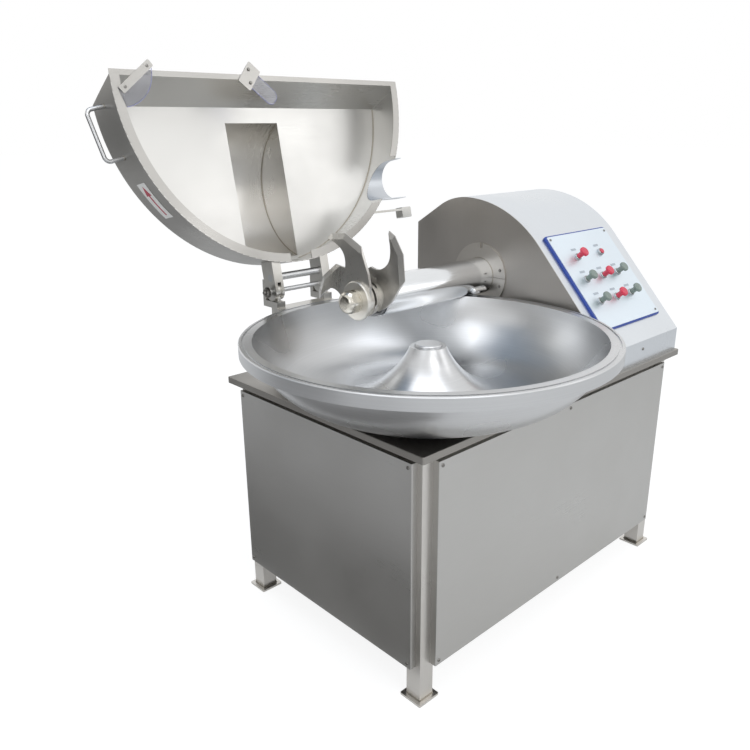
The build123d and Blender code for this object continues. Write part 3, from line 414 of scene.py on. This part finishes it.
# ---- Motor housing ----
# Stainless skin folded at the fascia and rolled over the crown, welded to two flat end plates
# and closed behind with a vented panel. One screw shows low on the fascia.
# The skin's grain runs up and over, so its curve glints in broad bands, cool from the sky.
skin_grain = (1.25, 125, 125)
skin_steel = brushed_steel("304 stainless skin, brushed upwards", "#E0E4E8", 0.33, skin_grain, depth=0.18)
# The inner end is brushed upright and hardly polished: an even, darker grey.
end_steel = brushed_steel("304 stainless end plate, matt brushed", "#B5B1AC", 0.42, (200, 2, 125), depth=0.2)
dress(["housing_skin", "housing_outer_end", "housing_rear_panel"], skin_steel)
dress(["housing_inner_end"], end_steel)
skin_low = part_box("housing_skin")[0]
fascia_screw_across = 0.27
fascia_screw_height = 0.952
fascia_screw_place = (skin_low.x + fascia_screw_across, skin_low.y, fascia_screw_height)
pan_screw("fascia_screw", fascia_screw_place, (0, -1, 0), "cabinet")


# ---- Control panel ----
# Blue moulded frame screwed to the slope under a pale anodised plate, with push-buttons in
# metal bezels: glossy red and grey-green mushroom heads, each under a blank tag.
def moulded(name, tint, rough, grain=1.11, depth=0.1, coat=0.0):
    """Plastic, rubber or enamel with a skin whose bumps are grain millimetres wide.

    A mould's texture is near 0.1 mm, too fine to show, so the widest bumps are drawn 1.1 mm
    wide or more. Patches 40 mm across vary the shine, as fingers do.
    """
    patch_size = 40.0
    material, tree, out = new_material(name)
    where = add(tree, "ShaderNodeTexCoord")
    skin = add(tree, "ShaderNodeTexNoise", Vector=where.outputs["Object"], Scale=1000 / grain, Detail=2.0)
    cloud = add(tree, "ShaderNodeTexNoise", Vector=where.outputs["Object"], Scale=1000 / patch_size,
                Detail=3.0)
    wear = add(tree, "ShaderNodeMapRange", Value=cloud.outputs[0], From_Min=0.3, From_Max=0.7,
               To_Min=rough - 0.06, To_Max=rough + 0.06)
    base = colour(tint)
    toned = add(tree, "ShaderNodeMix", {"data_type": "RGBA"}, Factor=cloud.outputs[0],
                i6=darker(base, 0.12), i7=base)
    relief = add(tree, "ShaderNodeBump", Height=skin.outputs[0], Strength=depth, Distance=0.0001)
    plastic = add(tree, "ShaderNodeBsdfPrincipled", Base_Color=toned.outputs[2], Roughness=wear.outputs[0],
                  IOR=1.49, Coat_Weight=coat, Normal=relief.outputs[0])
    tree.links.new(plastic.outputs[0], out.inputs["Surface"])
    return material


# Textured ABS takes the gloss off the blue and leaves one soft light along the edge.
dress(["control_box"], moulded("blue ABS frame, textured mould", "#24449B", 0.42))
# Anodising gives the plate an even, milky white sheen with hardly any grain.
plate_grain = (200, 3.33, 3.33)
anodised = {"depth": 0.06, "dark": 0.04}
plate_metal = brushed_steel("anodised aluminium plate, satin", "#DFE8EF", 0.45, plate_grain, **anodised)
dress(["control_plate"], plate_metal)
# Satin chrome rings the buttons with a thin, sharp glint.
bezel_metal = brushed_steel("zinc bezel, satin chromed", "#A9ABAC", 0.25, (5, 5, 5), depth=0.05)
dress(["button_bezels"], bezel_metal)
# A polished mould and a clear skin give each head one small highlight on deep colour.
red_plastic = moulded("red button plastic, glossy mould", "#D8304E", 0.28, depth=0.04, coat=0.3)
grey_plastic = moulded("grey-green button plastic, glossy mould", "#7E8C84", 0.3, depth=0.04, coat=0.3)
red_heads = ["mushroom_stop", "mushroom_knife_stop", "mushroom_bowl_stop", "button_small_red"]
dress(red_heads, red_plastic)
grey_heads = ["mushroom_lid", "mushroom_knife_start", "mushroom_bowl_slow", "mushroom_bowl_fast"]
dress(grey_heads, grey_plastic)

# Places on the panel are measured from the knee, where the fascia folds into the slope.
slope = radians(48.2)
out_of_slope = Vector((0.0, -sin(slope), cos(slope)))
up_slope = Vector((0.0, cos(slope), sin(slope)))
knee = Vector((0.918, -0.050, 0.986))
plate_face = 0.012
left, right = 0.072, 0.459
bottom, top = 0.102, 0.493
for k, (across, up) in enumerate(((left, top), (right, top), (right, bottom), (left, bottom))):
    spot = knee + Vector((across, 0, 0)) + up_slope * up + out_of_slope * plate_face
    pan_screw("plate_screw_%d" % k, spot, out_of_slope, "cabinet", size=0.005)

# Plain aluminium tags above the buttons, left blank: a shade darker than the plate.
tag_metal = brushed_steel("tag aluminium, satin", "#B9C2CB", 0.4, plate_grain, depth=0.05)
tag_above_button = 0.034
tag_half_width = Vector((0.016, 0, 0))
tag_half_height = up_slope * 0.0045
tag_thickness = out_of_slope * 0.0008
tag_lift = 0.0001
tagged = ["mushroom_stop", "button_small_red", "mushroom_lid", "mushroom_knife_stop", "mushroom_knife_start",
          "mushroom_bowl_slow", "mushroom_bowl_stop", "mushroom_bowl_fast"]
for k, name in enumerate(tagged):
    button_low, button_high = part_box(name)
    button_middle = (button_low + button_high) / 2
    up = (button_middle - knee).dot(up_slope) + tag_above_button
    centre = Vector((button_middle.x, knee.y, knee.z)) + up_slope * up
    centre += out_of_slope * (plate_face + tag_lift)
    signs = ((-1, -1), (1, -1), (1, 1), (-1, 1))
    ring = [centre + tag_half_width * x + tag_half_height * y for x, y in signs]
    corners = ring + [c + tag_thickness for c in ring]
    faces = [(3, 2, 1, 0), (4, 5, 6, 7), (0, 1, 5, 4), (1, 2, 6, 5), (2, 3, 7, 6), (3, 0, 4, 7)]
    tag = mesh_piece("legend_tag_%d" % k, corners, faces, tag_metal)
    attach(tag, "cabinet")

# ---- Knife shaft, tube and collar ----
# The fixed tube is ground and buffed stainless, with the ground shaft inside it. A split collar
# of plain sheet, bolted to the housing, closes the hole and is welded round the tube.
# Buffing leaves long, clear reflections along the tube with a faint haze of fine lines.
along_tube = (125, 3.85, 3.85)
buffed = {"depth": 0.03, "patch": 0.04}
tube_steel = brushed_steel("stainless tube, buffed bright", "#EAECEE", 0.15, along_tube, **buffed)
dress(["knife_shaft_tube"], tube_steel)
# The collar keeps the mill's grain: satin and a little warmer than the tube.
collar_steel = brushed_steel("collar sheet, guillotined", "#CBC7C1", 0.38, (5, 167, 2))
dress(["tube_collar"], collar_steel)
collar_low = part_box("tube_collar")[0]
tube_low, tube_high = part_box("knife_shaft_tube")
tube_middle = (tube_low + tube_high) / 2


def hex_bolt(name, place, axis, body, size=1.0):
    """Hexagon head with chamfered corners on a thin washer; size 1 is about a 10 mm bolt."""
    washer_thickness = 0.0012 * size
    washer = [(0.011 * size, 0.0), (0.011 * size, washer_thickness)]
    lathe(name + "_washer", washer, place, axis, body, screw_steel)
    hexagon = [(0.009 * size, 0.0), (0.009 * size, 0.005 * size), (0.0078 * size, 0.006 * size)]
    spot = Vector(place) + Vector(axis).normalized() * washer_thickness
    made = lathe(name, hexagon, spot, axis, body, screw_steel, sides=6)
    made.data.polygons.foreach_set("use_smooth", [False] * len(made.data.polygons))
    return made


bolt_rise = 0.032
bolt_reach = 0.105
for k, z in enumerate((tube_middle.z - bolt_rise, tube_middle.z + bolt_rise)):
    for side_name, y in (("front", tube_middle.y - bolt_reach), ("back", tube_middle.y + bolt_reach)):
        hex_bolt("collar_bolt_%d_%s" % (k, side_name), (collar_low.x, y, z), (-1, 0, 0), "cabinet", size=0.6)
collar_seam_radius = 0.0725
collar_centre = Vector((collar_low.x, tube_middle.y, tube_middle.z))
seam = arc_path(collar_centre, collar_seam_radius, Vector((0, 1, 0)), Vector((0, 0, 1)), 0.0, 2 * pi)
weld("collar_tube_weld", seam, 0.0015, "cabinet")
# Small round-ended locating lug welded low on the tube's front.
lug_place = Vector((collar_low.x - 0.118, tube_middle.y - 0.064, tube_middle.z - 0.041))
lug = [(0.004, 0.0), (0.010, 0.003), (0.0125, 0.008), (0.0125, 0.072), (0.010, 0.077), (0.004, 0.080)]
lathe("tube_lug", lug, lug_place, (1, 0, 0), "cabinet", tube_steel)
# Cylindrical grinding lines the shaft round, on darker alloy steel.
shaft_steel = brushed_steel("ground shaft steel", "#77787A", 0.28, (1.67, 25, 25), depth=0.1)
dress(["knife_shaft"], shaft_steel)

# ---- Knife head ----
# Forged blades, surface ground with a polished bevel, clamped on the shaft between turned
# rings by a domed nut.
# Grinding crosses the blade in straight lines, which break its mirror into fine streaks.
blade_steel = brushed_steel("knife steel, surface ground", "#CFCDC9", 0.3, (16.7, 1.43, 33.3), patch=0.06)
dress(["blade_pair_1", "blade_pair_2", "blade_pair_3"], blade_steel)
# The rings are turned: lined round, with a warm satin shine.
ring_steel = brushed_steel("turned ring, satin", "#E2DFD8", 0.3, (3.33, 16.7, 16.7), depth=0.1)
dress(["blade_clamp_rings"], ring_steel)
# The nut is polished smooth, so it has only soft patches 40 mm wide and no lines.
smooth = (40, 40, 40)
nut_steel = brushed_steel("domed nut, polished", "#D9D5CB", 0.2, smooth, depth=0.01, patch=0.02, dark=0.06)
dress(["nose_nut"], nut_steel)

# ---- Lid ----
# Stainless sheet: a rolled wall, a flat plate and a leaning front skirt, seam-welded inside,
# with a hood welded over the knives. It stands open on the hinge behind the bowl.
# Outside, the wall is brushed across its width, which dulls it to a mid grey.
lid_outside = brushed_steel("lid sheet, brushed across", "#A19F9B", 0.34, (125, 125, 1.43), depth=0.15)
# Inside, the plate is as rolled: pale, and soft as frosted glass.
mill_grain = (167, 3.33, 3.33)
lid_inside = brushed_steel("lid plate, bright rolled", "#DAD9D6", 0.38, mill_grain, depth=0.08, dark=0.05)
# The wall's inner face and the skirt take lighter copies of the lid steel, brighter than the
# brushed outside: painted reflection, which on the skirt stands in for the bowl it mirrors.
wiped_grain = (125, 125, 2)
wall_inside_painted_bright = brushed_steel("lid wall inside, painted bright", "#C9C8C5", 0.32, wiped_grain, depth=0.1, dark=0.05)
skirt_painted_bright = brushed_steel("lid skirt, painted bright", "#E0DFDC", 0.32, wiped_grain, depth=0.1, dark=0.05)
# The flange is linished on its face in short strokes: an even, quiet grey.
flange_steel = brushed_steel("lid flange, linished", "#BDBBB7", 0.36, (16.7, 16.7, 2), depth=0.12)
# The saddle is buffed after rolling, so its hollow gleams.
saddle_grain = (125, 3.33, 3.33)
saddle_steel = brushed_steel("saddle sheet, rolled and buffed", "#CDD1D6", 0.26, saddle_grain, depth=0.05)
# The hood's grain follows its curve and draws its light out into an upright band.
hood_grain = (2, 125, 125)
hood_steel = brushed_steel("hood sheet, rolled and wiped", "#DEDCD8", 0.32, hood_grain, depth=0.05, dark=0.08)
# Tumbled fittings have no direction: a fine, even sparkle about 7 mm coarse.
fittings = brushed_steel("stainless fittings, tumbled", "#D6D4CF", 0.33, (6.67, 6.67, 6.67), depth=0.1)
# Drawn bar is smooth: clean highlights along its length, hardly any texture.
rod_look = {"depth": 0.01, "patch": 0.03, "dark": 0.06}
rod_steel = brushed_steel("round bar, drawn and polished", "#CDCECF", 0.33, smooth, **rod_look)
dress(["lid_wall"], lid_outside)
# The skirt takes its lighter copy, with the painted reflection.
dress(["lid_front_skirt"], skirt_painted_bright)
dress(["shaft_saddle"], saddle_steel)
dress(["lid_rim_flange", "guard_bars"], flange_steel)
dress(["knife_hood"], hood_steel)
dress(["lid_top_plate"], lid_inside)
dress(["lid_switch_block"], fittings)
dress(["lid_handle", "lid_tie_rod"], rod_steel)

# Places on the lid are worked out with it shut, from the bowl's axis and the rim it sits on.
pin_low, pin_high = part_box("hinge_pin")
pin = (pin_low + pin_high) / 2
lid_turn = radians(joints["lid_hinge"]["range_deg"][1])
seat = 1.1445
lid_radius = 0.632
lid_middle = -0.038                # its round wall's axis, before the bowl's
plate_height = 0.162
plate_top = 0.1655
plate_front = -0.0060              # where the plate meets the leaning skirt
sheet_skin = 0.0012                # less than the sheet's thickness
seam_inset = 0.0035


def lid_way(x, y, z):
    """Direction on the shut lid, turned as the lid stands open."""
    return Vector((x, y * cos(lid_turn) + z * sin(lid_turn), z * cos(lid_turn) - y * sin(lid_turn)))


def lid_spot(x, y, h):
    """Place on the shut lid (from the bowl's axis, above its rim seat) with the lid open."""
    hinge = Vector((0.0, pin.y, pin.z))
    return hinge + lid_way(x + bowl_axis.x, y + bowl_axis.y - pin.y, h + seat - pin.z)


across = lid_way(1, 0, 0)
backward = lid_way(0, 1, 0)
upward = lid_way(0, 0, 1)
wall_centre = lid_spot(0, lid_middle, plate_height - 0.0005)
# Inner faces of the wall take the lighter copy with its painted reflection; outer faces keep the brushed
# grey.
wall = nodes["lid_wall"]
wall.data.materials.append(wall_inside_painted_bright)
for face in wall.data.polygons:
    outward = wall.matrix_world @ face.center - wall_centre
    outward -= upward * outward.dot(upward)
    face.material_index = 1 if outward.length < lid_radius - sheet_skin else 0
skirt = nodes["lid_front_skirt"]
skirt.data.materials.append(flange_steel)
for face in skirt.data.polygons:
    facing = skirt.matrix_world.to_3x3() @ face.normal
    face.material_index = 1 if facing.dot(-upward) > 0.9 else 0

# Seams inside, between wall and plate, stop short of the saddle's side and of the hood.
seam_radius = lid_radius - seam_inset
front_turn = asin((plate_front - lid_middle) / seam_radius)
quarter = 0.5 * pi
seam_bead = 0.0032
right_seam = arc_path(wall_centre, seam_radius, across, backward, front_turn, quarter - 0.168)
left_seam = arc_path(wall_centre, seam_radius, across, backward, quarter + 0.225, pi - front_turn)
weld("lid_seam_weld_right", right_seam, seam_bead, "lid")
weld("lid_seam_weld_left", left_seam, seam_bead, "lid")

# Seam round the hood's foot on top of the plate, and a ring of weld at each foot of the handle.
knife_back = 0.310
hood_bead = 0.0028
hood_left, hood_right = -0.1415, 0.1065
hood_front, hood_rear = knife_back - 0.2645, knife_back + 0.2645
hood_foot = [(hood_left, hood_front), (hood_right, hood_front)]
hood_foot += [(hood_right, hood_rear), (hood_left, hood_rear)]
for k in range(4):
    ends = [lid_spot(x, y, plate_top) for x, y in (hood_foot[k], hood_foot[(k + 1) % 4])]
    weld("hood_foot_weld_%d" % k, line_path(*ends), hood_bead, "lid")
handle_turn = radians(168.0)
handle_height = 0.088
handle_half_length = 0.084
handle_way = lid_way(cos(handle_turn), sin(handle_turn), 0)
handle_along = lid_way(-sin(handle_turn), cos(handle_turn), 0)
for k, offset in enumerate((-handle_half_length, handle_half_length)):
    on_the_wall = sqrt(lid_radius ** 2 - offset ** 2)
    foot = lid_spot(0, lid_middle, handle_height) + handle_way * on_the_wall + handle_along * offset
    seam = arc_path(foot, 0.0072, handle_along, upward, 0.0, 2 * pi, step=0.003)
    weld("handle_foot_weld_%d" % k, seam, 0.0018, "lid")

# Seam inside the hood, where its rolled back meets the right-hand cheek.
cheek_inside = 0.1015
knife_up = joints["knife_spin"]["pos_m"][2] - seat
hood_centre = lid_spot(cheek_inside, knife_back, knife_up)
hood_seam_radius = 0.2815
hood_seam_start = 0.40
seam = arc_path(hood_centre, hood_seam_radius, backward, upward, hood_seam_start, pi - hood_seam_start)
weld("hood_seam_weld", seam, hood_bead, "lid")

# ---- Clear guards ----
# Two pieces of 2 mm polycarbonate sheet at the lid's front edge, each clamped to the rim
# flange by a flat steel bar and two bolts.
# The sheet is faintly blue and shows as little more than its wiped patches, 25 mm wide.
wipe_size = 25.0
clear, tree, out = new_material("clear polycarbonate sheet")
where = add(tree, "ShaderNodeTexCoord")
cloud = add(tree, "ShaderNodeTexNoise", Vector=where.outputs["Object"], Scale=1000 / wipe_size, Detail=3.0)
wiped = add(tree, "ShaderNodeMapRange", Value=cloud.outputs[0], From_Min=0.3, From_Max=0.7,
            To_Min=0.03, To_Max=0.14)
sheet = add(tree, "ShaderNodeBsdfPrincipled", Base_Color=colour("#F0F1FA"), Roughness=wiped.outputs[0],
            IOR=1.58, Transmission_Weight=0.96)
tree.links.new(sheet.outputs[0], out.inputs["Surface"])
dress(["guard_strip"], clear)

# The sheet gathers light at its cut edges, which look lilac.
edge_glow = moulded("polycarbonate cut edge", "#A3A4D8", 0.3, depth=0.02)


def sheet_edge(name, path, origin, turn):
    """Fine bead of light along a guard's edge; the path is drawn from an origin on the bar."""
    spots = []
    for x, y in path:
        across_bar = x * cos(turn) - y * sin(turn)
        along_bar = x * sin(turn) + y * cos(turn)
        spots.append(lid_spot(origin[0] + across_bar, origin[1] + along_bar, -0.001))
    bead = weld(name, spots, 0.0011, "lid", ripple=0.0)
    bead.data.materials.clear()
    bead.data.materials.append(edge_glow)


corner_radius = 0.12793
corner_x, corner_y = 0.03952, -0.06617
corner_turns = [radians(31.15 + 87.59 * k / 24) for k in range(25)]
corner_edge = [(corner_x + corner_radius * cos(a), corner_y + corner_radius * sin(a)) for a in corner_turns]
sheet_edge("corner_guard_edge", corner_edge, (-0.603, -0.019), radians(-37.64))
strip_start = 0.028
strip_tip = 0.130
strip_half = 0.028
tip_radius = 0.024
tip_x, tip_y = strip_tip - tip_radius, strip_half - tip_radius
tip_turns = [radians(a) for a in range(0, 91, 15)]
round_end = [(tip_x + tip_radius * sin(a), tip_y + tip_radius * cos(a)) for a in tip_turns]
far_end = [(x, -y) for x, y in reversed(round_end)]
strip_edge = [(strip_start, strip_half)] + round_end + far_end + [(strip_start, -strip_half)]
sheet_edge("strip_guard_edge", strip_edge, (-0.108, -0.080), radians(40.0))

# Two low heads clear the bowl's rim under the corner bar; two hexagon heads hold the strip's.
bar_face = -0.005
flat_head = [(0.0055, 0.0), (0.0055, 0.0008), (0.0045, 0.0016), (0.002, 0.0018), (0.0018, 0.001)]
for k, (x, y) in enumerate(((-0.588, -0.0306), (-0.500, -0.0984))):
    spot = lid_spot(x, y, bar_face)
    lathe("guard_bar_bolt_%d" % k, flat_head, spot, -upward, "lid", screw_steel)
for k, (x, y) in enumerate(((-0.108, -0.057), (-0.108, -0.103))):
    hex_bolt("guard_clamp_bolt_%d" % k, lid_spot(x, y, bar_face), -upward, "lid", size=0.62)

# ---- Hinge ----
# Forked ears, welded to the lid, turn on a drawn pin through the tongues of the pedestal's two
# posts. A nut on the pin's threaded left end holds it in place.
dress(["lid_hinge_ears", "hinge_pedestal"], fittings)
dress(["hinge_pin"], rod_steel)
# The thread's ridges are 1.6 mm apart, a little finer than such a pin's real 2 mm.
hex_bolt("hinge_nut", (pin_low.x, pin.y, pin.z), (-1, 0, 0), "cabinet", size=1.9)
half_pitch = 0.0008
ridges = [(0.0078 if k % 2 else 0.0068, half_pitch * k) for k in range(1, 9)]
thread = [(0.0078, 0.0)] + ridges + [(0.006, 0.0075)]
thread_place = (pin_low.x - 0.0135, pin.y, pin.z)
lathe("hinge_pin_thread", thread, thread_place, (-1, 0, 0), "cabinet", screw_steel)

# ---- Direction label ----
# White vinyl film stuck round the lid's wall, screen printed with an arrow that shows which
# way the bowl turns.
# The film is a little glossy and soiled by grey specks 17 mm wide.
speck_size = 16.7
film, tree, out = new_material("white vinyl film, screen printed")
where = add(tree, "ShaderNodeTexCoord")
dirt = add(tree, "ShaderNodeTexNoise", Vector=where.outputs["Object"], Scale=1000 / speck_size, Detail=4.0)
shade = add(tree, "ShaderNodeMix", {"data_type": "RGBA"}, Factor=dirt.outputs[0],
            i6=colour("#CFCDC9"), i7=colour("#EAE8E4"))
vinyl = add(tree, "ShaderNodeBsdfPrincipled", Base_Color=shade.outputs[2], Roughness=0.4, IOR=1.5)
tree.links.new(vinyl.outputs[0], out.inputs["Surface"])
# The arrow's ink lies flat on the film, a dull red.
red_ink = moulded("red printing ink, flat", "#B23A4C", 0.45, depth=0.02)


def on_wall(name, outline, lift, material):
    """Thin patch round the lid wall from strips of (angle, low height, high height)."""
    film_thickness = 0.0006
    corners = []
    for angle, low, high in outline:
        for reach in (lid_radius + lift - film_thickness, lid_radius + lift):
            for h in (low, high):
                corners.append(lid_spot(reach * cos(angle), lid_middle + reach * sin(angle), h))
    faces = [(0, 1, 3, 2)]
    for k in range(len(outline) - 1):
        a = 4 * k
        faces += [(a, a + 4, a + 5, a + 1), (a + 2, a + 3, a + 7, a + 6)]
        faces += [(a + 1, a + 5, a + 7, a + 3), (a, a + 2, a + 6, a + 4)]
    end = 4 * (len(outline) - 1)
    faces.append((end, end + 2, end + 3, end + 1))
    made = mesh_piece(name, corners, faces, material)
    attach(made, "lid")
    return made


def spread(first, last, count):
    """Angles in equal steps from first to last."""
    return [first + (last - first) * k / count for k in range(count + 1)]


steps = 16
head_steps = 6
neck, point = radians(147.4), radians(150.8)
label = [(angle, 0.054, 0.110) for angle in spread(radians(138.6), radians(151.8), steps)]
shaft = [(angle, 0.078, 0.086) for angle in spread(radians(139.8), neck, steps)]
head = []
for k, angle in enumerate(spread(neck, point, head_steps)):
    half_head = 0.016 * (1 - k / head_steps)
    head.append((angle, 0.082 - half_head, 0.0821 + half_head))
on_wall("direction_label", label, 0.0010, film)
on_wall("direction_arrow_shaft", shaft, 0.0014, red_ink)
on_wall("direction_arrow_head", head, 0.0014, red_ink)

# ---- Drives inside the cabinet ----
# Two motors in sprayed enamel drive the knives and the bowl, the knives through moulded rubber
# belts on machined iron pulleys, whose shaft runs in iron bearing blocks.
# Rubber soaks up the light; its 2.5 mm bumps leave it dull.
dress(["drive_belts"], moulded("belt rubber, moulded", "#1D1D1E", 0.7, 2.5, 0.3))
# Sprayed enamel pulls into a soft orange peel about 3 mm wide.
enamel = moulded("motor enamel, sprayed", "#4F6470", 0.4, 3.33, 0.15)
dress(["knife_motor", "bowl_gearmotor"], enamel)
# Machined iron is a dark grey with blurred tool lines.
cast = brushed_steel("grey iron, machined", "#6E6F70", 0.45, (5, 16.7, 16.7), depth=0.15)
dress(["knife_pulley", "motor_pulley", "shaft_bearing_blocks"], cast)
